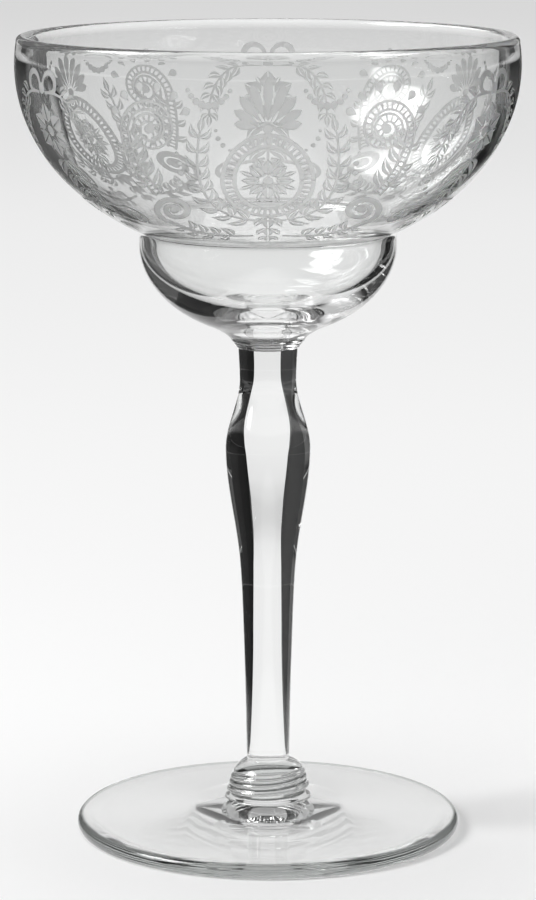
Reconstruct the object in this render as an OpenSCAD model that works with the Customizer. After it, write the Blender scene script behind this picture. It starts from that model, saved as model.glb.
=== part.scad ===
// Tall sherbet glass: a saucer bowl with a stepped lower cup, on a drawn baluster stem.
// Five gathers of clear glass are welded end to end: foot, knop, stem, collar and bowl.
// The axis of the glass is +Z, the table is z = 0, and all lengths are in millimetres.

/* [Foot] */
// Diameter of the foot over its rounded edge
foot_d = 73.4; // [64:0.2:90]
// Thickness of the foot at its rounded edge
foot_edge_t = 2.7; // [2:0.1:4]
// How far the rounded edge swells out beyond the flat faces
foot_edge_swell = 1.1; // [0.6:0.1:1.8]
// Width of the flat ring that the foot stands on
stand_ring_w = 3; // [1.5:0.1:6]
// Height of the hollow under the middle of the foot
foot_hollow_h = 1.2; // [0.4:0.1:2]
// Rise of the upper face from the edge to the boss
foot_rise = 1.9; // [0.8:0.1:4]
// Diameter of the boss where the upper face turns up to the knop
boss_d = 29.6; // [24:0.2:34]
// Length of the rounding on either side of that turn
boss_round = 0.8; // [0.4:0.1:1.5]
// Height of the boss between the upper face and the knop's seat
boss_h = 1.2; // [0.4:0.1:2.5]

/* [Knop] */
// Height of the whole knop
knop_h = 7.5; // [6.5:0.1:12]
// Diameter of the weld between the knop and the foot
knop_seat_d = 16.6; // [15:0.1:19]
// Diameter of the hollow under the lip
undercut_d = 14.2; // [12.5:0.1:16]
// Height of that hollow above the knop's seat
undercut_h = 1; // [0.6:0.1:1.4]
// Diameter of the knop over its lip
knop_lip_d = 15.9; // [15:0.1:21]
// Height of the lip above the knop's seat
knop_lip_h = 2; // [1.6:0.1:2.4]
// Diameter of the dome at its foot, above the lip
dome_d = 15; // [13:0.1:18]
// Height of the dome's foot above the knop's seat
dome_foot_h = 2.9; // [2.5:0.1:3.5]
// Number of grooves left by the wound glass, up the dome from the lip
knop_grooves = 3; // [1:1:5]
// Distance from one groove to the next
groove_pitch = 1.1; // [0.8:0.05:1.4]
// Depth of the grooves
groove_depth = 0.2; // [0.1:0.02:0.4]

/* [Stem] */
// Length of the stem between its two welds
stem_l = 79.9; // [72:0.2:100]
// Diameter at the top of the stem
stem_top_d = 11.2; // [10:0.1:13]
// Diameter of the neck below the top
neck_d = 10.7; // [8.5:0.1:12]
// Distance of the neck below the top
neck_drop = 6.2; // [4:0.1:10]
// Diameter of the swelling
belly_d = 16.1; // [12.5:0.1:20]
// Distance of the swelling below the top
belly_drop = 19.2; // [16:0.2:28]
// Diameter at the end of the taper under the swelling
taper_d = 10.7; // [9:0.1:11.5]
// Distance of that end of the taper below the top
taper_drop = 41; // [36:0.2:48]
// Diameter of the slender shank
shank_d = 9.2; // [7.5:0.1:10.5]
// Distance of the shank's middle below the top
shank_drop = 57; // [52:0.2:62]
// Diameter at the bottom of the stem
stem_end_d = 8.1; // [6.5:0.1:9]

/* [Collar] */
// Height of the collar between the stem and the bowl
collar_h = 1.7; // [1:0.1:4]
// Diameter of the weld between the collar and the bowl
collar_top_d = 14.1; // [12.6:0.1:17]
// How far the collar stands out over the top of the stem
collar_step = 0.1; // [0.05:0.05:0.5]
// Number of rings left by the wound glass, up the collar
collar_rings = 3; // [1:1:5]
// How far those rings stand out
collar_ring_h = 0.1; // [0.04:0.02:0.2]

/* [Bowl] */
// Widest diameter of the bowl
bowl_d = 94.2; // [80:0.2:110]
// Height of the bowl's elliptic curve below its widest line
bowl_curve_h = 36.2; // [30:0.2:44]
// Height of the rim above the widest line
rim_rise = 5.5; // [3:0.1:10]
// Outer diameter of the lower cup
cup_d = 48.4; // [40:0.2:56]
// Height of the cup's straight wall under the step
cup_wall_h = 2.4; // [1.5:0.1:6]
// Height of the cup's elliptic curve
cup_curve_h = 17.4; // [14:0.2:22]
// Height of the sweep from the collar to the cup's curve
cup_sweep_h = 0.7; // [0.3:0.1:1.5]
// Radius at which the sweep meets the cup's curve
cup_sweep_r = 12.4; // [11:0.1:15]
// Thickness of the wall
wall = 2.1; // [1.4:0.1:3]
// Thickness of the glass under the middle of the cup
cup_floor_t = 4.6; // [3.5:0.1:8]
// Length of the outer fillet at the step
step_fillet = 1.1; // [0.5:0.1:1.8]
// Length of the inner rounding at the step
step_round = 2.4; // [1:0.1:3]
// Height of the rounded lip at the rim
rim_round = 1; // [0.5:0.1:1.5]

/* [Hidden] */
$fn = 144;

GLASS = [0.88, 0.9, 0.9, 0.45];
// Steps along a short arc or a stretch of the stem, and along a long one
arc_steps = 20;
long_steps = 40;

// Radii
foot_r = foot_d / 2;
stand_r = foot_r - foot_edge_swell;
hollow_r = stand_r - stand_ring_w;
boss_r = boss_d / 2;
knop_seat_r = knop_seat_d / 2;
undercut_r = undercut_d / 2;
knop_lip_r = knop_lip_d / 2;
dome_r = dome_d / 2;
stem_end_r = stem_end_d / 2;
stem_top_r = stem_top_d / 2;
collar_r = stem_top_r + collar_step;
collar_top_r = collar_top_d / 2;
bowl_r = bowl_d / 2;
cup_r = cup_d / 2;

// Heights of the welds, from the table up
boss_z = foot_edge_t + foot_rise;
knop_z = boss_z + boss_h;
stem_z = knop_z + knop_h;
collar_z = stem_z + stem_l;
bowl_z = collar_z + collar_h;

// Heights in the bowl: the middle of the cup's curve, the step and the widest line
cup_z = bowl_z + cup_sweep_h + cup_curve_h;
step_z = cup_z + cup_wall_h;
widest_z = step_z + bowl_curve_h * sqrt(1 - pow(cup_r / bowl_r, 2));

// Points of an ellipse's arc between two angles
function ellipse_arc(centre, a, b, from, to, steps) =
    [for (i = [0 : steps]) let (t = from + (to - from) * i / steps)
        centre + [a * cos(t), b * sin(t)]];

// Points of a curve that leaves p0 towards p1 and arrives at p2 from p1
function bend(p0, p1, p2, steps) =
    [for (i = [0 : steps]) let (t = i / steps)
        p0 * (1 - t) * (1 - t) + p1 * 2 * t * (1 - t) + p2 * t * t];

// A list of points without its last one, to be followed by a curve that starts there
function open_end(points) = [for (i = [0 : len(points) - 2]) points[i]];

// The angle on an ellipse of half-width a at which its radius is r, below its middle
function angle_at(a, r) = -acos(r / a);

// The angle on an ellipse of half-height b at which it lies h above its middle
function angle_up(b, h) = asin(h / b);

// A solid of revolution about the axis, from the outline of its right half
module turned(outline) {
    color(GLASS) rotate_extrude() polygon(outline);
}

// The point that lies a length from p on the way to q
function towards(p, q, length) = p + (q - p) * length / norm(q - p);

// Foot: a disc with a rounded edge, hollow beneath, that rises to a low boss
module foot() {
    hollow = [for (i = [0 : arc_steps]) let (t = i / arc_steps)
        [hollow_r * t, foot_hollow_h * (1 - t * t)]];
    edge = ellipse_arc([stand_r, foot_edge_t / 2], foot_edge_swell, foot_edge_t / 2, -90, 90, arc_steps);
    turn = [boss_r, boss_z];
    seat = [knop_seat_r, knop_z];
    turn_from = towards(turn, edge[arc_steps], boss_round);
    boss = bend(turn_from, turn, towards(turn, seat, boss_round), arc_steps);
    turned(concat(hollow, edge, boss, [seat, [0, knop_z]]));
}

// Below the dome the knop's side runs through these stations: height above the seat, and radius
knop_stations = [
    [0, knop_seat_r],
    [undercut_h, undercut_r],
    [knop_lip_h, knop_lip_r],
    [dome_foot_h, dome_r]
];
// Radius at a height between two stations, level at both
function eased_r(p, q, h) = p.y + (q.y - p.y) * (1 - cos(180 * (h - p.x) / (q.x - p.x))) / 2;
function wound_r(h, i = 0) = h <= knop_stations[i + 1].x
    ? eased_r(knop_stations[i], knop_stations[i + 1], h)
    : wound_r(h, i + 1);

// The dome closes to the bottom of the stem, and its half-height is that of the ellipse through both
dome_half_h = (knop_h - dome_foot_h) / sqrt(1 - pow(stem_end_r / dome_r, 2));
function dome_r_at(h) = dome_r * sqrt(1 - pow((h - dome_foot_h) / dome_half_h, 2));

// How deep the side lies in a groove at a height. The lowest groove is at the foot of the dome.
function groove_at(h) = let (turns = (h - dome_foot_h) / groove_pitch)
    turns < -0.5 || turns > knop_grooves - 0.5 ? 0 : groove_depth * (1 - abs(sin(180 * turns)));

// Radius of the knop at a height above its seat
function knop_r(h) = (h < dome_foot_h ? wound_r(h) : dome_r_at(h)) - groove_at(h);

// Knop: the gather that joins the stem to the foot
module foot_knop() {
    steps = 2 * long_steps;
    side = [for (i = [0 : steps]) let (h = knop_h * i / steps) [knop_r(h), knop_z + h]];
    turned(concat([[0, knop_z]], side, [[0, stem_z]]));
}

// Stations down the stem: distance below its top, and radius
stem_stations = [
    [0, stem_top_r],
    [neck_drop, neck_d / 2],
    [belly_drop, belly_d / 2],
    [taper_drop, taper_d / 2],
    [shank_drop, shank_d / 2],
    [stem_l, stem_end_r]
];
function slope_between(i) =
    (stem_stations[i + 1].y - stem_stations[i].y) / (stem_stations[i + 1].x - stem_stations[i].x);
// Slope at a station: level where the stem is widest or narrowest, else the mean of its neighbours
function slope_at(i) = let (last = len(stem_stations) - 1)
    i == 0 ? slope_between(0)
    : i == last ? slope_between(last - 1)
    : slope_between(i - 1) * slope_between(i) <= 0 ? 0
    : (slope_between(i - 1) + slope_between(i)) / 2;
// Points of the smooth curve from one station to the next
function stem_stretch(i) = let (p = stem_stations[i], q = stem_stations[i + 1], l = q.x - p.x)
    [for (k = [0 : arc_steps - 1]) let (t = k / arc_steps, u = 1 - t)
        [p.x + l * t,
         p.y * u * u * (1 + 2 * t) + q.y * t * t * (1 + 2 * u)
         + l * t * u * (slope_at(i) * u - slope_at(i + 1) * t)]];

// Stem: a drawn baluster with a neck, a swelling and a long slender shank
module stem() {
    stretches = [for (i = [0 : len(stem_stations) - 2]) each stem_stretch(i)];
    side = [for (p = concat(stretches, [[stem_l, stem_end_r]])) [p.y, collar_z - p.x]];
    turned(concat([[0, collar_z]], side, [[0, stem_z]]));
}

// Where the flare of the collar and the sweep of the bowl both aim at their shared weld
weld_lean = 0.6;

// Collar: the flared bit of glass that joins the bowl to the stem
module bowl_collar() {
    aim = [collar_top_r - weld_lean * (collar_top_r - collar_r), bowl_z - collar_h / 2];
    flare = bend([collar_r, collar_z], aim, [collar_top_r, bowl_z], long_steps);
    wound = [for (p = flare) let (turns = collar_rings * (p.y - collar_z) / collar_h)
        p + [collar_ring_h * abs(sin(180 * turns)), 0]];
    turned(concat([[0, collar_z]], wound, [[0, bowl_z]]));
}

// Outside of the bowl, from the weld up: sweep, cup, step, saucer. The fillet stays within the straight wall.
function bowl_outside() = let (
        sweep_to = angle_at(cup_r, cup_sweep_r),
        sweep_end = [cup_sweep_r, cup_z + cup_curve_h * sin(sweep_to)],
        sweep_aim = [collar_top_r + weld_lean * cup_sweep_h * 2, bowl_z + cup_sweep_h * 2],
        fillet = min(step_fillet, 0.9 * cup_wall_h),
        saucer_from = angle_at(bowl_r, cup_r + fillet),
        saucer_to = angle_up(bowl_curve_h, rim_rise - rim_round),
        saucer = ellipse_arc([0, widest_z], bowl_r, bowl_curve_h, saucer_from, saucer_to, long_steps))
    concat(
        open_end(bend([collar_top_r, bowl_z], sweep_aim, sweep_end, arc_steps)),
        ellipse_arc([0, cup_z], cup_r, cup_curve_h, sweep_to, 0, long_steps),
        open_end(bend([cup_r, step_z - fillet], [cup_r, step_z], saucer[0], arc_steps)),
        saucer);

// Inside of the bowl, from the rim down: saucer, step, cup, floor. The rounding stays above the cup's curve.
function bowl_inside() = let (
        a = bowl_r - wall,
        b = bowl_curve_h - wall,
        cup_a = cup_r - wall,
        corner = [cup_a, widest_z - b * sqrt(1 - pow(cup_a / a, 2))],
        saucer_from = angle_up(b, rim_rise - rim_round),
        rounding = min(step_round, 0.9 * (corner.y - cup_z)),
        saucer_to = angle_at(a, cup_a + rounding),
        saucer = ellipse_arc([0, widest_z], a, b, saucer_from, saucer_to, long_steps),
        floor_h = cup_z - bowl_z - cup_floor_t)
    concat(
        open_end(saucer),
        bend(saucer[long_steps], corner, corner - [0, rounding], arc_steps),
        ellipse_arc([0, cup_z], cup_a, floor_h, 0, -90, long_steps));

// Bowl: a blown shell with a saucer over a stepped cup, thick at its base
module bowl() {
    outside = bowl_outside();
    inside = bowl_inside();
    lip_out = outside[len(outside) - 1];
    lip_in = inside[0];
    lip = ellipse_arc((lip_out + lip_in) / 2, (lip_out.x - lip_in.x) / 2, rim_round, 0, 180, arc_steps);
    turned(concat([[0, bowl_z]], outside, [for (i = [1 : arc_steps - 1]) lip[i]], inside));
}

foot();
foot_knop();
stem();
bowl_collar();
bowl();
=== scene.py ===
import math

import bpy
import numpy as np
from mathutils.geometry import delaunay_2d_cdt
from mathutils.kdtree import KDTree
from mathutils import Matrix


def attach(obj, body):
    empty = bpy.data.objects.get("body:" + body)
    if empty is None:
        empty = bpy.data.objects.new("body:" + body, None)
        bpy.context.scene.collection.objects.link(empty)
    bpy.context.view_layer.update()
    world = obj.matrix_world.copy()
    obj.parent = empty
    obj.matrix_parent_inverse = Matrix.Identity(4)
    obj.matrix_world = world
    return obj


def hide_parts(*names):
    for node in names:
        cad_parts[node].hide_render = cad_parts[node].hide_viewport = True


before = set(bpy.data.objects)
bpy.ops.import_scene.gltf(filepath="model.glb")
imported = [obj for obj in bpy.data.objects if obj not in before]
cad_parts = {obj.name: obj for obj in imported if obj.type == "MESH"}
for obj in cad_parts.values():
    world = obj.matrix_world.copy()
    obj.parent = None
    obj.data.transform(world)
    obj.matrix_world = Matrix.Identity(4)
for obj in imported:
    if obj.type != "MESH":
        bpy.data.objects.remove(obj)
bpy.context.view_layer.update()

# Sizes of the object are in millimetres, and Blender's own units are metres
MM = 0.001
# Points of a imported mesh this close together, in metres, are one point
SNAP = 1e-6


# Turned outlines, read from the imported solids

def outline_of(node):
    """The half outline of a turned node: (radius, height) points in mm, counter-clockwise about its glass."""
    vertices = np.array([vertex.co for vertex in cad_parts[node].data.vertices])
    on_half_plane = (np.abs(vertices[:, 1]) < SNAP) & (vertices[:, 0] > -SNAP)
    spots = vertices[on_half_plane][:, [0, 2]]
    _, first = np.unique(np.round(spots / SNAP), axis=0, return_index=True)
    left = spots[first]
    # The walk starts where the outline meets the axis, or else at its lowest point
    nearest = np.lexsort((left[:, 1], left[:, 0] > SNAP))[0]
    walk = []
    while len(left):
        spot = left[nearest]
        left = np.delete(left, nearest, axis=0)
        if not walk or np.hypot(*(spot - walk[-1])) > 2 * SNAP:
            walk.append(spot)
        if len(left):
            nearest = np.argmin(np.hypot(*(left - spot).T))
    walk = np.array(walk) / MM
    radius, height = walk.T
    turned_area = np.sum(radius * np.roll(height, -1) - np.roll(radius, -1) * height)
    return walk if turned_area > 0 else walk[::-1]


def spaced(outline, longest):
    """The outline with its long straight stretches cut into equal lengths."""
    points = [outline[0]]
    for start, end in zip(outline[:-1], outline[1:]):
        count = math.ceil(np.hypot(*(end - start)) / longest)
        for step in range(1, count + 1):
            points.append(start + (end - start) * step / count)
    return np.array(points)


def outward(outline):
    """The unit normals of an outline, pointing out of the glass."""
    steps = np.diff(outline, axis=0)
    lengths = np.hypot(*steps.T)
    tangents = steps / lengths[:, None]
    inner = tangents[:-1] * lengths[1:, None] + tangents[1:] * lengths[:-1, None]
    along = np.vstack([tangents[:1], inner, tangents[-1:]])
    along /= np.hypot(*along.T)[:, None]
    normals = np.column_stack([along[:, 1], -along[:, 0]])
    for end in (0, -1):
        if outline[end, 0] < SNAP / MM:
            normals[end] = (0, math.copysign(1, normals[end, 1]))
    return normals


def thinned(outline, normals, longest, most_turn):
    """The outline and normals with only the points that its length and its bends need."""
    kept = [0]
    for spot in range(1, len(outline) - 1):
        bend = math.degrees(math.acos(min(1, normals[spot + 1] @ normals[kept[-1]])))
        if bend > most_turn or np.hypot(*(outline[spot + 1] - outline[kept[-1]])) > longest:
            kept.append(spot)
    kept.append(len(outline) - 1)
    return outline[kept], normals[kept]


# Closed meshes made of rings

class Shell:
    """The vertices, normals and faces of one closed mesh, in mm until it is made."""

    def __init__(self):
        self.points = []
        self.normals = []
        self.faces = []
        self.slots = []
        self.flat_faces = set()

    def add(self, points, normals):
        first = len(self.points)
        self.points.extend(np.asarray(points).tolist())
        self.normals.extend(np.asarray(normals).tolist())
        return np.arange(first, len(self.points))

    def ring(self, spot, normal, angles):
        across = np.column_stack([np.cos(angles), np.sin(angles)])
        ones = np.ones(len(angles))
        points = np.column_stack([across * spot[0], ones * spot[1]])
        normals = np.column_stack([across * normal[0], ones * normal[1]])
        return self.add(points, normals)

    def strip(self, lower, upper, slot):
        for a, b, c, d in zip(lower, np.roll(lower, -1), np.roll(upper, -1), upper):
            self.face((a, b, c, d), slot)

    def fan(self, ring, height, up, slot):
        centre = self.add([(0, 0, height)], [(0, 0, up)])[0]
        for a, b in zip(ring, np.roll(ring, -1)):
            self.face((centre, a, b) if up > 0 else (centre, b, a), slot)

    def face(self, corners, slot, flat=False):
        if flat:
            self.flat_faces.add(len(self.faces))
        self.faces.append([int(corner) for corner in corners])
        self.slots.append(slot)

    def make(self, name, materials):
        used, renumbered = np.unique(np.concatenate(self.faces), return_inverse=True)
        ends = np.cumsum([len(face) for face in self.faces])[:-1]
        faces = [face.tolist() for face in np.split(renumbered, ends)]
        normals = np.array(self.normals)[used]
        mesh = bpy.data.meshes.new(name)
        mesh.from_pydata((np.array(self.points)[used] * MM).tolist(), [], faces)
        for material in materials:
            mesh.materials.append(material)
        mesh.polygons.foreach_set("material_index", self.slots)
        mesh.polygons.foreach_set("use_smooth", [True] * len(faces))
        corner_normals = []
        for number, face in enumerate(faces):
            flat = number in self.flat_faces
            corner_normals += [mesh.polygons[number].normal] * len(face) if flat else normals[face].tolist()
        mesh.normals_split_custom_set(corner_normals)
        piece = bpy.data.objects.new(name, mesh)
        bpy.context.scene.collection.objects.link(piece)
        return piece


# Material slots of a glass piece: the third is the bowl's ornament, or where a turned piece gets painted
# shade, and the fourth is the bowl's outer wall round the ornament
GLASS = 0
WELD = 1
ETCHED = 2
PAINTED_SHADE_SLOT = 2
WALL = 3


def ring_angles(count):
    return math.radians(FRIEZE_START) + np.arange(count) * 2 * math.pi / count


def turn(shell, outline, normals, angles, painted_shade_where):
    """Turns an outline into rings, closed on the axis or by a flat weld face at each end."""
    ends = (outline[0, 0] < SNAP / MM, outline[-1, 0] < SNAP / MM)
    body = slice(1 if ends[0] else 0, -1 if ends[1] else None)
    rings = [shell.ring(spot, normal, angles) for spot, normal in zip(outline[body], normals[body])]
    for lower, upper, shaded in zip(rings[:-1], rings[1:], painted_shade_where[body]):
        shell.strip(lower, upper, PAINTED_SHADE_SLOT if shaded else GLASS)
    shell.fan(rings[0], outline[0, 1], -1, GLASS if ends[0] else WELD)
    shell.fan(rings[-1], outline[-1, 1], 1, GLASS if ends[1] else WELD)


# Ornament, drawn flat in mm: x along the wall from a motif's middle, y up the wall from the frieze's foot

# A coil has a point every so many degrees, and it closes in faster at first: 1 would be evenly
COIL_STEP = 14
COIL_CLOSING = 0.8
# A scroll ends at this share of its coil's first radius
SCROLL_EYE = 0.22
DOT_CORNERS = 10
# The rungs of a ladder, as a share of the width of its two lines
RUNG_SHARE = 0.7
# Shares of the way along a leaf or petal at which its width is worked out
BLADE_STEPS = np.linspace(0, 1, 9)
# A blade is widest near its base below 1, and near its tip above 1
LEAF_SKEW = 0.75
PETAL_SKEW = 1.7
# A petal is fuller than a sine curve below 1
PETAL_FULLNESS = 0.8
# Half the width of the clear rib along the middle of a leaf, and a half width that is as good as none
RIB = 0.14
TINY = 1e-9
# Leaves along a path: how far from it they start, and how much they shrink and bend, as shares
FRINGE_GAP = 0.3
FRINGE_SHRINK = 0.3
FRINGE_BEND = 0.12
# A twig's width at its two ends, and the leaf at its tip as a share of the others
TWIG_WIDTHS = (0.6, 0.4)
TIP_LEAF = 0.7
# Leaves of a husk, as shares of its width and length: how wide the middle one is, and the roots, tips, width
# and bend of the two beside it
HUSK_MIDDLE = 0.5
HUSK_ROOT = (0.08, -0.06)
HUSK_TIP = (0.58, -0.78)
HUSK_SIDE = 0.42
HUSK_BEND = 0.1
# A palmette's boss, where its petals start, and how much shorter the outermost are, as a share
PALMETTE_BOSS = 0.9
PALMETTE_START = 1.3
PALMETTE_DROP = 0.36


def polar(degrees, radius=1.0):
    return radius * np.array([math.cos(math.radians(degrees)), math.sin(math.radians(degrees))])


def bow(start, pull, push, end, steps=14):
    """A smooth path from start to end, led by two points between them."""
    share = np.linspace(0, 1, steps + 1)[:, None]
    rest = 1 - share
    weights = (rest ** 3, 3 * rest ** 2 * share, 3 * rest * share ** 2, share ** 3)
    return sum(weight * np.array(corner, float) for weight, corner in zip(weights, (start, pull, push, end)))


def coil(centre, outer, inner, start, sweep):
    """A path that winds round a centre, from the outer to the inner radius, over a sweep in degrees."""
    share = np.linspace(0, 1, int(abs(sweep) / COIL_STEP) + 1)
    radius = outer + (inner - outer) * share ** COIL_CLOSING
    return np.array([np.array(centre) + polar(start + sweep * s, r) for s, r in zip(share, radius)])


def scroll(start, heading, reach, centre, radius, enter, sweep):
    """A path that sets out on a heading, meets a circle tangentially and coils up inside it."""
    start, centre = np.array(start, float), np.array(centre, float)
    end = centre + polar(enter, radius)
    forward = polar(enter + math.copysign(90, sweep), reach)
    arm = bow(start, start + polar(heading, reach), end - forward, end)
    return np.vstack([arm, coil(centre, radius, SCROLL_EYE * radius, enter, sweep)[1:]])


def sideways(path):
    """The unit vectors to the left of a path, at each of its points."""
    ahead = np.gradient(path, axis=0)
    ahead /= np.hypot(*ahead.T)[:, None]
    return np.column_stack([-ahead[:, 1], ahead[:, 0]])


def travel(path, share):
    """The point at a share of a path's length, and the path's heading there in degrees."""
    steps = np.diff(path, axis=0)
    run = np.concatenate([[0], np.cumsum(np.hypot(*steps.T))])
    place = share * run[-1]
    point = np.array([np.interp(place, run, path[:, axis]) for axis in (0, 1)])
    step = steps[min(np.searchsorted(run, place, "right"), len(steps)) - 1]
    return point, math.degrees(math.atan2(step[1], step[0]))


def line(path, *widths):
    """A line along a path, its width running through the given ones."""
    path = np.array(path, float)
    places = np.linspace(0, 1, len(path))
    half = np.interp(places, np.linspace(0, 1, len(widths)), widths)[:, None] / 2
    aside = sideways(path) * half
    return [np.vstack([path + aside, (path - aside)[::-1]])]


def ladder(path, spread, width, rungs):
    """Two lines side by side along a path, with rungs between them."""
    aside = sideways(path) * spread / 2
    shapes = line(path + aside, width) + line(path - aside, width)
    for number in range(rungs):
        point, heading = travel(path, (number + 0.5) / rungs)
        across = polar(heading + 90, (spread - width) / 2)
        shapes += line([point - across, point + across], RUNG_SHARE * width)
    return shapes


def dot(centre, radius):
    turns = [360 * corner / DOT_CORNERS for corner in range(DOT_CORNERS)]
    return [np.array([np.array(centre) + polar(degrees, radius) for degrees in turns])]


def beads(path, count, smallest, largest):
    """Dots along a path, the largest in its middle."""
    shapes = []
    for share in np.linspace(0, 1, count):
        radius = smallest + (largest - smallest) * math.sin(math.pi * share)
        shapes += dot(travel(path, share)[0], radius)
    return shapes


def blade(base, tip, bend, swell):
    """The spine of a leaf or petal, and the half width across it, for half widths given along it."""
    base, tip = np.array(base, float), np.array(tip, float)
    share = np.linspace(0, 1, len(swell))
    run = tip - base
    across = np.array([-run[1], run[0]]) / np.hypot(*run)
    spine = base + np.outer(share, run) + np.outer(np.sin(np.pi * share) * bend, across)
    return spine, np.outer(swell, across)


def leaf(base, tip, width, bend=0.0):
    """A pointed leaf in two halves, with a clear rib between them."""
    spine, half = blade(base, tip, bend, np.sin(np.pi * BLADE_STEPS ** LEAF_SKEW) * width / 2)
    rib = half * np.minimum(1, RIB / np.maximum(np.hypot(*half.T), TINY))[:, None]
    return [np.vstack([spine + side * rib, (spine + side * half)[-2:0:-1]]) for side in (-1, 1)]


def petal(base, tip, width):
    """A petal, narrow at its base and round at its tip."""
    swell = np.sin(np.pi * BLADE_STEPS ** PETAL_SKEW) ** PETAL_FULLNESS * width / 2
    spine, half = blade(base, tip, 0, swell)
    return [np.vstack([spine + half, (spine - half)[-2:0:-1]])]


def fringe(path, first, last, count, length, width, lean):
    """Leaves on one side of a path, at a lean from its heading, shorter towards its end."""
    shapes = []
    for share in np.linspace(first, last, count):
        base, heading = travel(path, share)
        size = 1 - FRINGE_SHRINK * share
        root = base + polar(heading + lean, FRINGE_GAP)
        tip = base + polar(heading + lean, length * size)
        shapes += leaf(root, tip, width * size, math.copysign(FRINGE_BEND * length, lean))
    return shapes


def spray(path, first, last, count, length, width, lean):
    """A twig with its leaves in pairs and one at its tip."""
    shapes = line(path, *TWIG_WIDTHS)
    for side in (-1, 1):
        shapes += fringe(path, first, last, count, length, width, side * lean)
    end, heading = travel(path, 1)
    return shapes + leaf(end, end + polar(heading, TIP_LEAF * length), TIP_LEAF * width)


def rosette(centre, petals, inner, outer, width, start=90):
    centre = np.array(centre, float)
    shapes = []
    for number in range(petals):
        way = polar(start + 360 * number / petals)
        shapes += leaf(centre + inner * way, centre + outer * way, width)
    return shapes


def husk(top, length, width):
    """A bellflower hanging from its top: a leaf straight down, and one bent out on each side."""
    top = np.array(top, float)
    shapes = leaf(top, top - (0, length), HUSK_MIDDLE * width)
    for side in (-1, 1):
        size = np.array((side * width, length))
        root, tip = top + size * HUSK_ROOT, top + size * HUSK_TIP
        shapes += leaf(root, tip, HUSK_SIDE * width, HUSK_BEND * side * length)
    return shapes


def palmette(base, length, lobes, spread, width):
    """A fan of petals over a boss."""
    base = np.array(base, float)
    shapes = dot(base, PALMETTE_BOSS)
    for heading in np.linspace(90 - spread / 2, 90 + spread / 2, lobes):
        reach = length * (1 - PALMETTE_DROP * abs(heading - 90) / (spread / 2))
        shapes += petal(base + polar(heading, PALMETTE_START), base + polar(heading, reach), width)
    return shapes


def both_sides(shapes):
    return shapes + [shape * (-1, 1) for shape in shapes]


def medallion():
    """A rosette in an oval frame, with a palmette over it and husks under it."""
    middle = np.array((0, 20.4))
    half_axes = (7.0, 8.4)
    ring = np.array([polar(degrees) for degrees in np.linspace(0, 360, 49)])
    shapes = ladder(middle + ring * half_axes, spread=2.1, width=0.8, rungs=44)
    shapes += dot(middle, radius=0.95)
    shapes += rosette(middle, petals=8, inner=1.4, outer=4.7, width=2.1)
    shapes += rosette(middle, petals=8, inner=2.9, outer=5.4, width=1.0, start=112.5)
    shapes += palmette((0, 31.0), length=9.4, lobes=9, spread=160, width=1.75)
    for top, length, width in ((10.6, 4.4, 4.2), (6.7, 3.6, 3.6), (3.5, 2.8, 3.0)):
        shapes += husk((0, top), length, width)
    return shapes


def main_motif():
    """A medallion in a laurel wreath, between two tiers of scrolls."""
    low_eye, high_eye = np.array((17.4, 11.8)), np.array((21.6, 30.6))
    wreath = bow((-1.4, 9.4), (9.6, 8.0), (14.4, 18.4), (12.0, 30.4), steps=20)
    low = scroll((2.6, 3.6), heading=-8, reach=8.0, centre=low_eye, radius=4.2, enter=-58, sweep=600)
    high = scroll((20.2, 16.4), heading=48, reach=5.0, centre=high_eye, radius=5.2, enter=-4, sweep=620)
    upper_chain = bow((6.6, 37.8), (8.6, 34.2), (12.4, 34.2), (14.2, 37.8))
    lower_chain = bow((16.6, 17.6), (15.4, 20.4), (15.4, 23.6), (16.4, 26.0))
    half = spray(wreath, first=0.16, last=0.95, count=9, length=4.5, width=1.9, lean=36)
    half += line(low, 0.6, 1.5, 1.3, 0.9) + dot(low_eye, radius=0.95)
    half += fringe(low, first=0.10, last=0.30, count=4, length=3.3, width=1.7, lean=-42)
    half += fringe(low, first=0.08, last=0.27, count=4, length=4.2, width=1.9, lean=52)
    half += ladder(high, spread=1.5, width=0.5, rungs=46) + dot(high_eye, radius=1.0)
    half += fringe(high, first=0.04, last=0.24, count=4, length=5.0, width=2.1, lean=54)
    half += fringe(high, first=0.06, last=0.24, count=3, length=3.6, width=1.7, lean=-46)
    crown_inner, crown_outer = 6.4, 8.7
    for heading in range(24, 180, 26):
        way = polar(heading)
        half += petal(high_eye + crown_inner * way, high_eye + crown_outer * way, width=1.6)
    half += beads(upper_chain, count=9, smallest=0.42, largest=0.72)
    half += beads(lower_chain, count=5, smallest=0.4, largest=0.6)
    return medallion() + both_sides(half)


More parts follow.
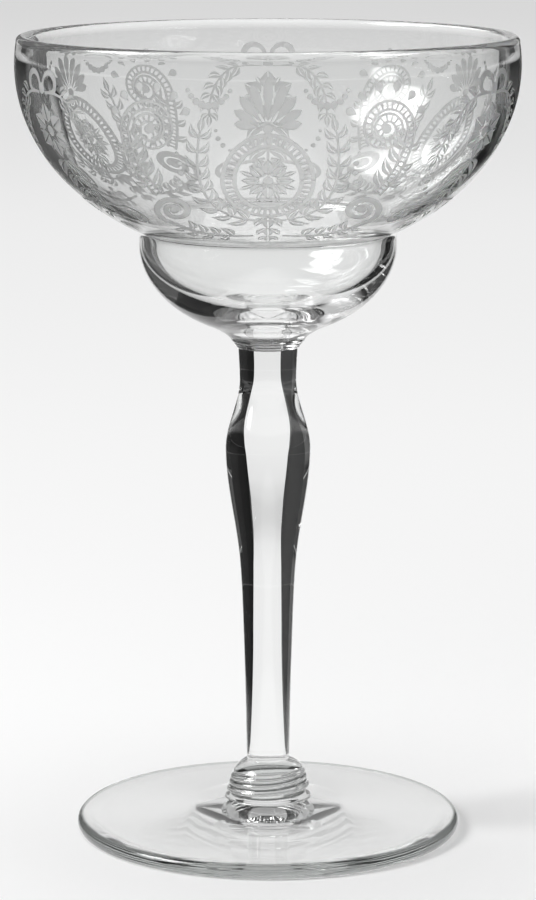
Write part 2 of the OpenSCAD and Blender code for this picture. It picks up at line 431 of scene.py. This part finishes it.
def side_motif():
    """A garland of leaves hanging from a flower, under a bow with two sprays."""
    flower, curl_eye = np.array((0, 28.4)), np.array((8.4, 9.0))
    stalk = np.array([(0, 22.4), (0, 17.0), (0, 11.6), (0, 6.2)])
    shapes = dot(flower, radius=1.1)
    shapes += rosette(flower, petals=6, inner=1.6, outer=5.6, width=3.4)
    shapes += rosette(flower, petals=6, inner=3.0, outer=5.0, width=1.2, start=60)
    shapes += line(stalk, 0.7, 0.5)
    for side in (-1, 1):
        shapes += fringe(stalk, first=0.0, last=0.84, count=5, length=6.4, width=2.5, lean=side * 44)
    shapes += husk((0, 5.8), length=4.8, width=4.0) + dot((0, 36.4), radius=1.1)
    loop = coil((3.2, 37.2), outer=2.8, inner=1.3, start=205, sweep=-310)
    branch = bow((1.0, 35.6), (7.0, 36.6), (12.4, 33.0), (12.2, 24.0))
    curl = scroll((0.6, 12.8), heading=-14, reach=2.6, centre=curl_eye, radius=2.6, enter=96, sweep=-520)
    chain = bow((7.8, 15.2), (9.6, 16.4), (10.6, 18.2), (10.8, 20.4))
    half = line(loop, 0.6, 1.3, 0.7)
    half += spray(branch, first=0.26, last=0.96, count=7, length=3.9, width=1.7, lean=38)
    half += line(curl, 0.7, 1.1, 0.8) + dot(curl_eye, radius=0.65)
    half += beads(chain, count=4, smallest=0.4, largest=0.6)
    return shapes + both_sides(half)


# The frieze is drawn once and repeated round the bowl: (degrees from the edge of a repeat, motif)
REPEATS = 3
MOTIFS = ((21.5, side_motif), (81.5, main_motif))
# Where the first repeat starts, so that a main motif faces the front
FRIEZE_START = -90 - MOTIFS[1][0]
# Heights on the outside of the bowl, in mm, between which its wall is cut along the ornament
FRIEZE_FROM = 116.2
FRIEZE_TO = 150.7
# Rows and columns of points on the clear wall of a repeat, and the least room between them and a drawn line
FRIEZE_ROWS = 34
FRIEZE_COLUMNS = 86
LINE_ROOM = 0.25
# Points this close to the border of a repeat lie on it
BORDER_ROOM = LINE_ROOM / 10
# How deep the ornament is etched
ETCH_DEPTH = 0.1


def repeat_shapes(radius_at, mean_radius):
    """All shapes of one repeat, rolled out: x along the mean circle, y up the wall."""
    shapes = []
    for degrees, motif in MOTIFS:
        for shape in motif():
            angle = math.radians(degrees) + shape[:, 0] / radius_at(shape[:, 1])
            shapes.append(np.column_stack([angle * mean_radius, shape[:, 1]]))
    return shapes


def inside(points, shape):
    """Which points lie in a closed shape."""
    found = np.zeros(len(points), bool)
    x, y = points.T
    for (x0, y0), (x1, y1) in zip(shape, np.roll(shape, -1, axis=0)):
        if y0 == y1:
            continue
        crossing = (y0 > y) != (y1 > y)
        found ^= crossing & (x < x0 + (y - y0) * (x1 - x0) / (y1 - y0))
    return found


def cut_repeat(shapes, width, height):
    """Triangles over a rolled-out repeat that follow the shapes, and which of them lie in one."""
    points = []
    edges = []
    for shape in shapes:
        first = len(points)
        points += shape.tolist()
        edges += [(first + step, first + (step + 1) % len(shape)) for step in range(len(shape))]
    drawn = KDTree(len(points))
    for number, (x, y) in enumerate(points):
        drawn.insert((x, y, 0), number)
    drawn.balance()
    for row in range(FRIEZE_ROWS + 1):
        for column in range(FRIEZE_COLUMNS + 1):
            x, y = width * column / FRIEZE_COLUMNS, height * row / FRIEZE_ROWS
            on_border = row in (0, FRIEZE_ROWS) or column in (0, FRIEZE_COLUMNS)
            if on_border or drawn.find((x, y, 0))[2] > LINE_ROOM:
                points.append((x, y))
    corners, _, triangles, _, _, _ = delaunay_2d_cdt(points, edges, [], 0, SNAP / MM, False)
    corners = np.array([tuple(corner) for corner in corners])
    triangles = np.array([list(triangle) for triangle in triangles])
    middles = corners[triangles].mean(axis=1)
    etched = np.zeros(len(triangles), bool)
    for shape in shapes:
        in_box = ((middles >= shape.min(axis=0)) & (middles <= shape.max(axis=0))).all(axis=1)
        near = np.flatnonzero(in_box)
        etched[near] |= inside(middles[near], shape)
    return corners, triangles, etched


def around(triangles):
    """The edges of some triangles, each counter-clockwise about its own."""
    return [edge for a, b, c in triangles.tolist() for edge in ((a, b), (b, c), (c, a))]


def frieze(shell, outline, normals):
    """Adds the etched stretch of the bowl's wall and returns its lowest and its highest ring."""
    run = np.concatenate([[0], np.cumsum(np.hypot(*np.diff(outline, axis=0).T))])
    height = run[-1]
    mean_radius = outline[:, 0].mean()
    width = mean_radius * 2 * math.pi / REPEATS
    shapes = repeat_shapes(lambda y: np.interp(y, run, outline[:, 0]), mean_radius)
    corners, triangles, etched = cut_repeat(shapes, width, height)
    clear_edges = set(around(triangles[~etched]))
    steps_down = [(a, b) for a, b in around(triangles[etched]) if (b, a) in clear_edges]

    # Points on the borders of a repeat are shared with its neighbours, by their column and row
    column = np.round(corners[:, 0] / width * FRIEZE_COLUMNS).astype(int)
    row = np.round(corners[:, 1] / height * FRIEZE_ROWS).astype(int)
    to_border = np.minimum(corners, (width, height) - corners).min(axis=1)
    on_border = np.flatnonzero(to_border < BORDER_ROOM)

    radius, level, lean, rise = (np.interp(corners[:, 1], run, values) for values in (*outline.T, *normals.T))
    shared = {}
    for repeat in range(REPEATS):
        angle = math.radians(FRIEZE_START) + corners[:, 0] / mean_radius + repeat * 2 * math.pi / REPEATS
        across = np.column_stack([np.cos(angle), np.sin(angle)])
        directions = np.column_stack([across * lean[:, None], rise])
        surface = np.column_stack([across * radius[:, None], level])
        on_wall = shell.add(surface, directions)
        in_etch = shell.add(surface - ETCH_DEPTH * directions, directions)
        for corner in on_border:
            key = ((repeat * FRIEZE_COLUMNS + column[corner]) % (REPEATS * FRIEZE_COLUMNS), row[corner])
            on_wall[corner] = shared.setdefault(key, on_wall[corner])
        for triangle in triangles[~etched]:
            shell.face(on_wall[triangle], WALL)
        for triangle in triangles[etched]:
            shell.face(in_etch[triangle], ETCHED)
        for a, b in steps_down:
            shell.face((on_wall[a], on_wall[b], in_etch[b], in_etch[a]), ETCHED, flat=True)
    steps = range(REPEATS * FRIEZE_COLUMNS)
    return [shared[(step, 0)] for step in steps], [shared[(step, FRIEZE_ROWS)] for step in steps]


# Materials

GLASS_IOR = 1.52
CLEAR_COLOUR = (0.985, 0.99, 0.987)
ETCHED_COLOUR = (0.91, 0.915, 0.91)
ETCHED_ROUGHNESS = 0.48
ETCHED_TRANSMISSION = 0.74
# Painted shade, for light dimmed on a long way through the glass: across the foot to its edge, and along the
# wall of the bowl where that is seen edge-on. The sharp grooves of wound glass, from which little of it comes
# out, get painted shade too
FOOT_EDGE_SHADE_COLOUR = (0.52, 0.54, 0.53)
WALL_EDGE_SHADE_COLOUR = (0.3, 0.305, 0.3)
ETCHED_EDGE_SHADE_COLOUR = (0.5, 0.505, 0.5)
GROOVE_SHADE_COLOUR = (0.12, 0.125, 0.122)
# How far the wall turns away, from 0 straight on to 1 edge-on, where its painted shade starts and where it is
# full
DIM_FROM = 0.58
DIM_TO = 0.78
# Bumps of a surface: how many to a metre, how that changes along each axis, and their depth in mm
HOT_WAVES = (60, (1, 1, 0.35), 0.02)
ETCHED_GRAIN = (4000, (1, 1, 1), 0.03)


def new_material(name):
    material = bpy.data.materials.new(name)
    material.use_nodes = True
    material.node_tree.nodes.clear()
    return material, material.node_tree.nodes, material.node_tree.links


def show(nodes, links, shader):
    """Makes a shader the surface of its material."""
    output = nodes.new("ShaderNodeOutputMaterial")
    links.new(shader.outputs[0], output.inputs["Surface"])


def glass_shader(nodes, colour, roughness=0.0, transmission=1.0):
    shader = nodes.new("ShaderNodeBsdfPrincipled")
    shader.inputs["Base Color"].default_value = (*colour, 1)
    shader.inputs["Roughness"].default_value = roughness
    shader.inputs["IOR"].default_value = GLASS_IOR
    shader.inputs["Transmission Weight"].default_value = transmission
    return shader


def add_bumps(nodes, links, shader, count, stretch, depth):
    place = nodes.new("ShaderNodeTexCoord")
    mapping = nodes.new("ShaderNodeMapping")
    mapping.inputs["Scale"].default_value = stretch
    noise = nodes.new("ShaderNodeTexNoise")
    noise.inputs["Scale"].default_value = count
    noise.inputs["Detail"].default_value = 1.0
    bump = nodes.new("ShaderNodeBump")
    bump.inputs["Strength"].default_value = 1.0
    bump.inputs["Distance"].default_value = depth * MM
    links.new(place.outputs["Object"], mapping.inputs["Vector"])
    links.new(mapping.outputs["Vector"], noise.inputs["Vector"])
    links.new(noise.outputs["Fac"], bump.inputs["Height"])
    links.new(bump.outputs["Normal"], shader.inputs["Normal"])


def paint_edge_on_shade(nodes, links, shader, edge_shade_colour):
    """Paints shade on glass where it is seen edge-on, for the light that comes a long way through the wall
    there.
    """
    facing = nodes.new("ShaderNodeLayerWeight")
    facing.inputs["Blend"].default_value = 0.5
    ramp = nodes.new("ShaderNodeValToRGB")
    clear_end, dim_end = ramp.color_ramp.elements
    clear_end.position = DIM_FROM
    clear_end.color = shader.inputs["Base Color"].default_value
    dim_end.position = DIM_TO
    dim_end.color = (*edge_shade_colour, 1)
    links.new(facing.outputs["Facing"], ramp.inputs["Fac"])
    links.new(ramp.outputs["Color"], shader.inputs["Base Color"])


def clear_glass(name, colour=CLEAR_COLOUR, edge_shade_colour=None):
    """Polished glass with the slow waves of hot work, and painted shade edge-on where an edge shade colour is
    given.
    """
    material, nodes, links = new_material(name)
    shader = glass_shader(nodes, colour)
    if edge_shade_colour:
        paint_edge_on_shade(nodes, links, shader, edge_shade_colour)
    add_bumps(nodes, links, shader, *HOT_WAVES)
    show(nodes, links, shader)
    return material


def etched_glass():
    """Acid-etched glass: finely rough, so it scatters what passes through it and catches the light. Shade is
    painted on it where it is seen edge-on.
    """
    material, nodes, links = new_material("etched glass")
    shader = glass_shader(nodes, ETCHED_COLOUR, ETCHED_ROUGHNESS, ETCHED_TRANSMISSION)
    paint_edge_on_shade(nodes, links, shader, ETCHED_EDGE_SHADE_COLOUR)
    add_bumps(nodes, links, shader, *ETCHED_GRAIN)
    show(nodes, links, shader)
    return material


def weld():
    """The inner face where two gathers of glass are fused, which light crosses unbent."""
    material, nodes, links = new_material("fused weld")
    show(nodes, links, nodes.new("ShaderNodeBsdfTransparent"))
    return material


CLEAR = clear_glass("clear glass")
OUTER = clear_glass("outer wall glass with painted edge shade", edge_shade_colour=WALL_EDGE_SHADE_COLOUR)
# Painted shade: a darker glass for the edge of the foot
FOOT_EDGE_SHADE = clear_glass("foot edge painted shade glass", FOOT_EDGE_SHADE_COLOUR)
# Painted shade: a dark glass for the grooves of the knop
GROOVE_SHADE = clear_glass("groove painted shade glass", GROOVE_SHADE_COLOUR)
FUSED = weld()
FROSTED = etched_glass()


# The glass pieces

# The painted shade at the edge of the foot starts at this share of its radius
EDGE_FROM = 0.97
# Half the width of the painted shade along a groove, in mm
GROOVE_HALF = 0.22
# How far the wound rings of the knop lean at most, in degrees
KNOP_LEAN = 4.5


def hand_over(shell, node, materials):
    piece = shell.make("glass_" + node, materials)
    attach(piece, "root")
    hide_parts(node)


def lean_rings(shell, degrees):
    """Leans the rings of a piece to one side, most at half its height and not at all at its ends."""
    points, normals = np.array(shell.points), np.array(shell.normals)
    height = points[:, 2]
    share = (height - height.min()) / np.ptp(height)
    slope = math.tan(math.radians(degrees)) * np.sin(np.pi * share)
    points[:, 2] += slope * points[:, 0]
    normals[:, 0] -= slope * normals[:, 2]
    normals /= np.linalg.norm(normals, axis=1)[:, None]
    shell.points, shell.normals = points.tolist(), normals.tolist()


def at_edge(outline):
    """Which stretches of an outline lie at its outer edge."""
    radius = outline[:, 0]
    return np.minimum(radius[:-1], radius[1:]) > EDGE_FROM * radius.max()


def in_grooves(outline):
    """Which stretches of an outline lie close to a narrowest point of it."""
    radius = outline[:, 0]
    narrowest = np.flatnonzero((radius[1:-1] < radius[:-2]) & (radius[1:-1] < radius[2:])) + 1
    middles = (outline[:-1] + outline[1:]) / 2
    away = [np.hypot(*(middles - outline[spot]).T) for spot in narrowest]
    return np.min(away, axis=0) < GROOVE_HALF


def nowhere(outline):
    return np.zeros(len(outline) - 1, bool)


def turned_piece(node, segments, longest, most_turn, where=nowhere, painted_shade_glass=None, lean=0):
    """A turned node as a smooth mesh, with a glass of painted shade where the outline asks for it.

    From ring to ring its outline is at most so many mm long and turns by at most so many degrees.
    """
    outline = spaced(outline_of(node), longest)
    outline, normals = thinned(outline, outward(outline), longest, most_turn)
    shell = Shell()
    turn(shell, outline, normals, ring_angles(segments), where(outline))
    lean_rings(shell, lean)
    hand_over(shell, node, [CLEAR, FUSED] + ([painted_shade_glass] if painted_shade_glass else []))


def cut_at(outline, normals, height):
    """An outline and its normals with one more point, outside at a height, and that point's number."""
    above = int(np.argmax(outline[:, 1] >= height))
    low, high = outline[above - 1:above + 1]
    share = (height - low[1]) / (high[1] - low[1])
    spot = low + (high - low) * share
    normal = normals[above - 1] * (1 - share) + normals[above] * share
    normal /= np.hypot(*normal)
    return np.insert(outline, above, spot, axis=0), np.insert(normals, above, normal, axis=0), above


def etched_bowl(longest, most_turn):
    """The bowl as a smooth mesh whose outer wall is cut along the ornament."""
    outline = outline_of("bowl")
    normals = outward(outline)
    outline, normals, foot = cut_at(outline, normals, FRIEZE_FROM)
    outline, normals, top = cut_at(outline, normals, FRIEZE_TO)
    angles = ring_angles(REPEATS * FRIEZE_COLUMNS)
    shell = Shell()
    below = thinned(outline[:foot + 1], normals[:foot + 1], longest, most_turn)
    above = thinned(outline[top:], normals[top:], longest, most_turn)
    lower = [shell.ring(spot, normal, angles) for spot, normal in zip(below[0][:-1], below[1][:-1])]
    first, last = frieze(shell, outline[foot:top + 1], normals[foot:top + 1])
    upper = [shell.ring(spot, normal, angles) for spot, normal in zip(above[0][1:-1], above[1][1:-1])]
    rings = lower + [first, last] + upper
    shell.fan(rings[0], outline[0, 1], -1, WELD)
    for ring, following in zip(rings[:-1], rings[1:]):
        if ring is not first:
            shell.strip(ring, following, GLASS)
    shell.fan(rings[-1], outline[-1, 1], 1, GLASS)
    hand_over(shell, "bowl", [CLEAR, FUSED, FROSTED, OUTER])


# The edge of the foot gets painted shade
turned_piece("foot", segments=256, longest=1.2, most_turn=3, where=at_edge, painted_shade_glass=FOOT_EDGE_SHADE)
# The grooves of the knop get painted shade
turned_piece(
    "foot_knop", segments=160, longest=0.15, most_turn=4, where=in_grooves, painted_shade_glass=GROOVE_SHADE, lean=KNOP_LEAN)
turned_piece("stem", segments=128, longest=0.8, most_turn=2)
turned_piece("bowl_collar", segments=128, longest=0.3, most_turn=4)
etched_bowl(longest=1.4, most_turn=4)


# The studio: a pale floor, a backdrop, dark cards that give the glass its edges, and soft lamps.
# Its places and sizes are in metres

# The camera's sensor and lens, in mm
SENSOR_WIDTH = 36.0
FOCAL_LENGTH = 142.6
CAMERA_PLACE = (0, -0.6645, 0.1971)
# How far the camera looks down, in degrees
CAMERA_PITCH = 10.54

FLOOR_REACH = 6.0
FLOOR_SIDES = 96
# The floor lies this far under the foot, so that the two never share a surface
FLOOR_Z = -0.00005
BACKDROP_HALF_WIDTH = 1.2
BACKDROP_DISTANCE = 3.4
BACKDROP_HEIGHT = 5.0
# Grey levels of the floor and the backdrop: (distance from the foot, level). They darken far from the foot as
# painted shade
FLOOR_FADE = [(0.05, 0.92), (0.3, 0.93), (0.9, 0.90), (1.6, 0.84), (2.8, 0.77)]
BACKDROP_FADE = [(0.05, 0.77), (0.5, 0.66), (1.0, 0.82), (1.7, 0.5), (5.0, 0.34)]
# Share of their brightness that is their own light. Near the glass it is less, so that the floor keeps
# the shadow
OWN_LIGHT = 0.87
FLOOR_SHARE = [(0.05, 0.38), (0.12, 0.5), (0.5, OWN_LIGHT)]
BACKDROP_SHARE = [(0.05, OWN_LIGHT), (5.0, OWN_LIGHT)]
# The axes along which the distances count
ACROSS_FLOOR = (1, 1, 0)
UPWARD = (0, 0, 1)

# Dark cards on both sides of the bright stretch behind the glass: side, name, half width of the stretch where
# the cards start, how much it widens with each metre behind that, and the grey of the near and the far cards
SIDE_CARDS = ((-1, "left", 0.0505, 0.28, 0.12, 0.22), (1, "right", 0.0555, 0.32, 0.012, 0.22))
# How far behind the glass the cards start, change from near to far, and end
CARD_START, CARD_MIDDLE, CARD_END = 0.05, 0.9, 2.5
CARD_TOP = 3.0
# The mats on the floor: how far they reach from the glass, how high they lie, and how much further in than
# the cards they reach beside the glass
MAT_REACH = 3.0
MAT_Z = 0.0002
MAT_OVERLAP = 0.009
# The mat before the glass: its grey, the half-axes of the clear ellipse in it, and the shares of them between
# which the ellipse fades out
FRONT_LEVEL = 0.03
FRONT_OPENING = (0.07, 0.25)
OPENING_FADE = (0.6, 1.1)
# Small bright cards before the left dark card: name, place, aim, size and strength. The first lightens the
# lower right of the cup, and the second is the soft low highlight in the bowl
SMALL_GLOWS = (
    ("cup_glow", (-0.058, 0.087, 0.117), (0, 0.103, 0.117), (0.11, 0.045), 0.65),
    ("bowl_glow", (-0.0724, 0.13, 0.255), (0.0276, 0.158, 0.255), (0.19, 0.11), 6.0),
)
# Squared shares of the half width of a bright card, between which its light rises from the edge inward
GLOW_FADE = (1.0, 0.2)

KEY_PLACE = (-0.74, -0.14, 0.70)
KEY_AIM = (0, 0, 0.12)
WORLD_LEVEL = 0.08
# Light that is caught in the solid glass turns many times before it comes out
LIGHT_TURNS = 32

SINGLE = "ShaderNodeMath"
VECTOR = "ShaderNodeVectorMath"


def maths(nodes, operation, kind=SINGLE):
    node = nodes.new(kind)
    node.operation = operation
    return node


def soft_step(nodes, start, end, height=1.0):
    """A node that rises smoothly from nothing at the start to a height at the end."""
    step = nodes.new("ShaderNodeMapRange")
    step.interpolation_type = "SMOOTHSTEP"
    step.inputs["From Min"].default_value = start
    step.inputs["From Max"].default_value = end
    step.inputs["To Max"].default_value = height
    return step


def grey(level):
    return (level, level, level, 1)


def pale(nodes, links, level, straight_share):
    """A pale matt shader that glows in part: by a share if seen straight, by OWN_LIGHT through glass."""
    matt = nodes.new("ShaderNodeBsdfDiffuse")
    glow = nodes.new("ShaderNodeEmission")
    path = nodes.new("ShaderNodeLightPath")
    straight = maths(nodes, "MULTIPLY")
    in_glass = maths(nodes, "MAXIMUM")
    through = maths(nodes, "MULTIPLY")
    through.inputs[1].default_value = OWN_LIGHT
    share = maths(nodes, "MAXIMUM")
    mix = nodes.new("ShaderNodeMixShader")
    links.new(path.outputs["Is Camera Ray"], straight.inputs[0])
    links.new(straight_share, straight.inputs[1])
    links.new(path.outputs["Is Glossy Ray"], in_glass.inputs[0])
    links.new(path.outputs["Is Transmission Ray"], in_glass.inputs[1])
    links.new(in_glass.outputs[0], through.inputs[0])
    links.new(straight.outputs[0], share.inputs[0])
    links.new(through.outputs[0], share.inputs[1])
    links.new(share.outputs[0], mix.inputs["Fac"])
    links.new(level, matt.inputs["Color"])
    links.new(level, glow.inputs["Color"])
    links.new(matt.outputs["BSDF"], mix.inputs[1])
    links.new(glow.outputs["Emission"], mix.inputs[2])
    return mix


def fading(nodes, links, stops, along):
    """Grey levels that change with the distance from the foot along some axes: stops of (distance, level)."""
    nearest, farthest = stops[0][0], stops[-1][0]
    place = nodes.new("ShaderNodeNewGeometry")
    flat = maths(nodes, "MULTIPLY", VECTOR)
    flat.inputs[1].default_value = along
    length = maths(nodes, "LENGTH", VECTOR)
    decades = maths(nodes, "LOGARITHM")
    decades.inputs[1].default_value = 10
    span = nodes.new("ShaderNodeMapRange")
    span.inputs["From Min"].default_value = math.log10(nearest)
    span.inputs["From Max"].default_value = math.log10(farthest)
    ramp = nodes.new("ShaderNodeValToRGB")
    ramp.color_ramp.interpolation = "EASE"
    elements = ramp.color_ramp.elements
    ready = len(elements)
    for number, (distance, level) in enumerate(stops):
        share = math.log(distance / nearest) / math.log(farthest / nearest)
        element = elements[number] if number < ready else elements.new(share)
        element.position = share
        element.color = grey(level)
    links.new(place.outputs["Position"], flat.inputs[0])
    links.new(flat.outputs["Vector"], length.inputs[0])
    links.new(length.outputs["Value"], decades.inputs[0])
    links.new(decades.outputs[0], span.inputs["Value"])
    links.new(span.outputs["Result"], ramp.inputs["Fac"])
    return ramp.outputs["Color"]


def pale_material(name, levels, shares, along):
    material, nodes, links = new_material(name)
    level = fading(nodes, links, levels, along)
    straight_share = fading(nodes, links, shares, along)
    show(nodes, links, pale(nodes, links, level, straight_share))
    return material


def opened(nodes, links, shader, half_axes):
    """A shader with a clear ellipse about the foot."""
    place = nodes.new("ShaderNodeTexCoord")
    share = maths(nodes, "MULTIPLY", VECTOR)
    share.inputs[1].default_value = (1 / half_axes[0], 1 / half_axes[1], 0)
    length = maths(nodes, "LENGTH", VECTOR)
    fade = soft_step(nodes, *OPENING_FADE)
    nothing = nodes.new("ShaderNodeBsdfTransparent")
    mix = nodes.new("ShaderNodeMixShader")
    links.new(place.outputs["Object"], share.inputs[0])
    links.new(share.outputs["Vector"], length.inputs[0])
    links.new(length.outputs["Value"], fade.inputs["Value"])
    links.new(fade.outputs["Result"], mix.inputs["Fac"])
    links.new(nothing.outputs["BSDF"], mix.inputs[1])
    links.new(shader.outputs["BSDF"], mix.inputs[2])
    return mix


def dark_material(name, level, opening=None):
    """A dark matt card, which may have an opening: a clear ellipse given by its half-axes."""
    material, nodes, links = new_material(name)
    matt = nodes.new("ShaderNodeBsdfDiffuse")
    matt.inputs["Color"].default_value = grey(level)
    show(nodes, links, opened(nodes, links, matt, opening) if opening else matt)
    return material


def glowing_material(name, strength):
    """Light that fades out towards the edges of a card whose half width and half height are 1."""
    material, nodes, links = new_material(name)
    place = nodes.new("ShaderNodeTexCoord")
    squared = maths(nodes, "MULTIPLY", VECTOR)
    total = maths(nodes, "LENGTH", VECTOR)
    fade = soft_step(nodes, *GLOW_FADE, strength)
    glow = nodes.new("ShaderNodeEmission")
    links.new(place.outputs["Object"], squared.inputs[0])
    links.new(place.outputs["Object"], squared.inputs[1])
    links.new(squared.outputs["Vector"], total.inputs[0])
    links.new(total.outputs["Value"], fade.inputs["Value"])
    links.new(fade.outputs["Result"], glow.inputs["Strength"])
    show(nodes, links, glow)
    return material


def card(name, corners, material):
    mesh = bpy.data.meshes.new(name)
    mesh.from_pydata(corners, [], [range(len(corners))])
    mesh.materials.append(material)
    piece = bpy.data.objects.new(name, mesh)
    bpy.context.scene.collection.objects.link(piece)
    return piece


def mirrored_card(name, corners, material):
    """A card that is seen only in the glass."""
    piece = card(name, corners, material)
    piece.visible_camera = False
    piece.visible_diffuse = False
    piece.visible_shadow = False
    return piece


def lying(name, corners, material):
    return mirrored_card(name, [(x, y, MAT_Z) for x, y in corners], material)


def upright(name, start, end, material):
    corners = [(*start, MAT_Z), (*end, MAT_Z), (*end, CARD_TOP), (*start, CARD_TOP)]
    return mirrored_card(name, corners, material)


def aim_at(piece, place, aim):
    """Puts a lamp or card at a place and turns its -Z side to the point that it is aimed at."""
    direction = np.array(aim) - np.array(place)
    piece.location = place
    piece.rotation_euler = (
        math.acos(-direction[2] / np.linalg.norm(direction)),
        0,
        math.atan2(direction[1], direction[0]) - math.pi / 2,
    )


def make_lamp(name, place, aim, size, power):
    """A soft lamp that lights the stage and the glass, but is not mirrored itself."""
    data = bpy.data.lights.new(name, "AREA")
    data.shape = "RECTANGLE"
    data.size, data.size_y = size
    data.energy = power
    lamp = bpy.data.objects.new(name, data)
    aim_at(lamp, place, aim)
    lamp.visible_glossy = False
    lamp.visible_transmission = False
    bpy.context.scene.collection.objects.link(lamp)


def make_glow(name, place, aim, size, strength):
    """A soft bright card that is seen only in the glass, such as the face of a lamp."""
    corners = [(-1, -1, 0), (1, -1, 0), (1, 1, 0), (-1, 1, 0)]
    face = mirrored_card(name, corners, glowing_material(name, strength))
    face.scale = (size[0] / 2, size[1] / 2, 1)
    aim_at(face, place, aim)
    return face


def make_camera():
    data = bpy.data.cameras.new("camera")
    data.sensor_width = SENSOR_WIDTH
    data.lens = FOCAL_LENGTH
    camera = bpy.data.objects.new("camera", data)
    camera.location = CAMERA_PLACE
    camera.rotation_euler = (math.radians(90 - CAMERA_PITCH), 0, 0)
    bpy.context.scene.collection.objects.link(camera)
    bpy.context.scene.camera = camera
    return camera


def make_floor():
    angles = [2 * math.pi * side / FLOOR_SIDES for side in range(FLOOR_SIDES)]
    corners = [(FLOOR_REACH * math.cos(angle), FLOOR_REACH * math.sin(angle), FLOOR_Z) for angle in angles]
    card("floor", corners, pale_material("pale floor", FLOOR_FADE, FLOOR_SHARE, ACROSS_FLOOR))


def make_backdrop():
    wide, away, high = BACKDROP_HALF_WIDTH, BACKDROP_DISTANCE, BACKDROP_HEIGHT
    corners = [(-wide, away, FLOOR_Z), (wide, away, FLOOR_Z), (wide, away, high), (-wide, away, high)]
    return card("backdrop", corners, pale_material("pale backdrop", BACKDROP_FADE, BACKDROP_SHARE, UPWARD))


def make_side_cards(side, name, gap, widening, near_level, far_level):
    """The upright dark cards on one side of the bright stretch, and the mats beside them on the floor."""
    start, middle, end = (
        (side * (gap + widening * (y - CARD_START)), y) for y in (CARD_START, CARD_MIDDLE, CARD_END))
    near = dark_material("dark near " + name, near_level)
    far = dark_material("dark far " + name, far_level)
    inner = [(side * (gap - MAT_OVERLAP), y) for y in (0, CARD_START)]
    outer = [(side * MAT_REACH, y) for y in (0, CARD_MIDDLE, CARD_END)]
    return [
        upright("dark_card_near_" + name, start, middle, near),
        upright("dark_card_far_" + name, middle, end, far),
        lying("dark_mat_near_" + name, [*inner, middle, outer[1], outer[0]], near),
        lying("dark_mat_far_" + name, [middle, end, outer[2], outer[1]], far),
    ]


def make_front_mat():
    corners = [(-MAT_REACH, -MAT_REACH), (MAT_REACH, -MAT_REACH), (MAT_REACH, 0), (-MAT_REACH, 0)]
    return lying("dark_mat_front", corners, dark_material("dark front", FRONT_LEVEL, FRONT_OPENING))


def make_set(camera):
    """The backdrop, the dark cards and the small glows, on a stand that turns with the camera."""
    stand = bpy.data.objects.new("set_stand", None)
    bpy.context.scene.collection.objects.link(stand)
    facing = stand.constraints.new("LOCKED_TRACK")
    facing.target = camera
    facing.track_axis = "TRACK_NEGATIVE_Y"
    facing.lock_axis = "LOCK_Z"
    pieces = [make_backdrop()]
    for side_cards in SIDE_CARDS:
        pieces += make_side_cards(*side_cards)
    pieces.append(make_front_mat())
    pieces += [make_glow(*glow) for glow in SMALL_GLOWS]
    for piece in pieces:
        piece.parent = stand


def make_world():
    world = bpy.data.worlds.new("studio")
    world.use_nodes = True
    world.node_tree.nodes["Background"].inputs["Color"].default_value = grey(WORLD_LEVEL)
    bpy.context.scene.world = world


make_floor()
make_set(make_camera())
make_lamp("key_softbox", KEY_PLACE, KEY_AIM, size=(0.36, 0.36), power=9)
make_glow("key_glow", KEY_PLACE, KEY_AIM, size=(0.62, 0.62), strength=16)
make_glow("stem_glow", place=(-0.48, -0.24, 0.29), aim=(0, 0, 0.085), size=(0.18, 0.12), strength=7)
make_lamp("overhead_softbox", place=(0.0, 0.2, 1.7), aim=(0, 0.2, 0), size=(1.2, 1.2), power=14.5)
make_world()
bpy.context.scene.view_settings.view_transform = "Standard"
light_paths = bpy.context.scene.cycles
light_paths.max_bounces = LIGHT_TURNS
light_paths.glossy_bounces = LIGHT_TURNS
light_paths.transmission_bounces = LIGHT_TURNS
light_paths.transparent_max_bounces = LIGHT_TURNS
